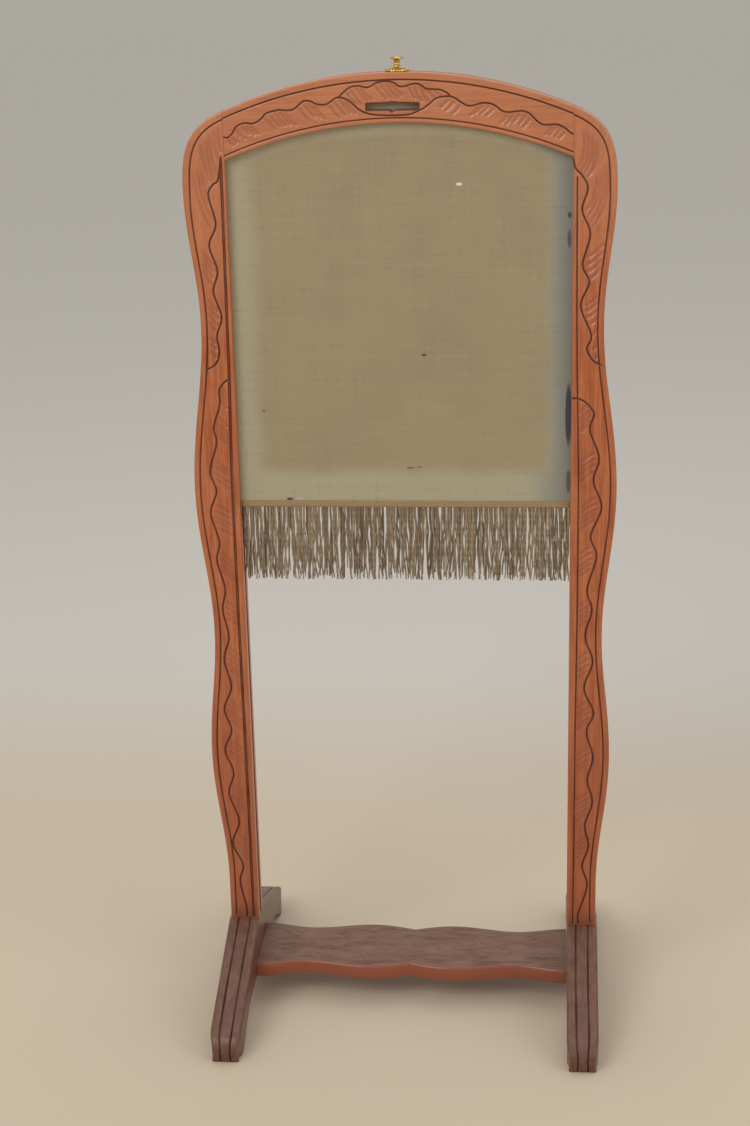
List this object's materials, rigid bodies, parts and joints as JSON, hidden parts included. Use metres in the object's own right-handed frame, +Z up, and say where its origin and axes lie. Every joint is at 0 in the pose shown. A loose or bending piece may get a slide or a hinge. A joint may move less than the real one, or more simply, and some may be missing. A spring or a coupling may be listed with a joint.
{
  "type": "fire screen",
  "caption": "Wooden fire screen with carved serpentine uprights on sled feet and a silk-covered leaf that slides up between two arched rails by a brass knob.",
  "frame": {"origin": "on the floor, midway between the four toes", "axes": "+Z up, +Y to the back, +X to the right seen from the front"},
  "size_m": [0.4322, 0.348, 1.0083],
  "materials": {
    "carved_wood": "varnished cherry or walnut, worn",
    "dark_wood": "darkened, dusty varnish",
    "plain_wood": "bare softwood",
    "silk": "faded slub silk",
    "fringe_yarn": "twisted yarn",
    "brass": "polished, rubbed",
    "steel": "dull"
  },
  "bodies": {
    "stand": {"left_upright": "carved_wood", "right_upright": "carved_wood", "front_top_rail": "carved_wood", "rear_top_rail": "carved_wood", "left_foot": "dark_wood", "right_foot": "dark_wood", "stretcher": "dark_wood", "upright_screws": "steel", "stretcher_pegs": "plain_wood"},
    "leaf": {"leaf_left_stile": "plain_wood", "leaf_right_stile": "plain_wood", "leaf_top_rail": "plain_wood", "leaf_bottom_rail": "plain_wood", "leaf_corner_pegs": "plain_wood", "front_cloth": "silk", "rear_cloth": "silk", "cloth_tacks": "steel", "front_braid": "fringe_yarn", "rear_braid": "fringe_yarn", "fringe": "fringe_yarn", "knob_plate": "brass", "pull_knob": "brass", "knob_stud": "steel", "left_friction_spring": "steel", "right_friction_spring": "steel", "spring_screws": "steel"}
  },
  "joints": [
    {"name": "leaf_slide", "type": "slide", "parent": "stand", "child": "leaf", "axis": [0, 0, 1], "range_m": [0, 0.3]}
  ]
}
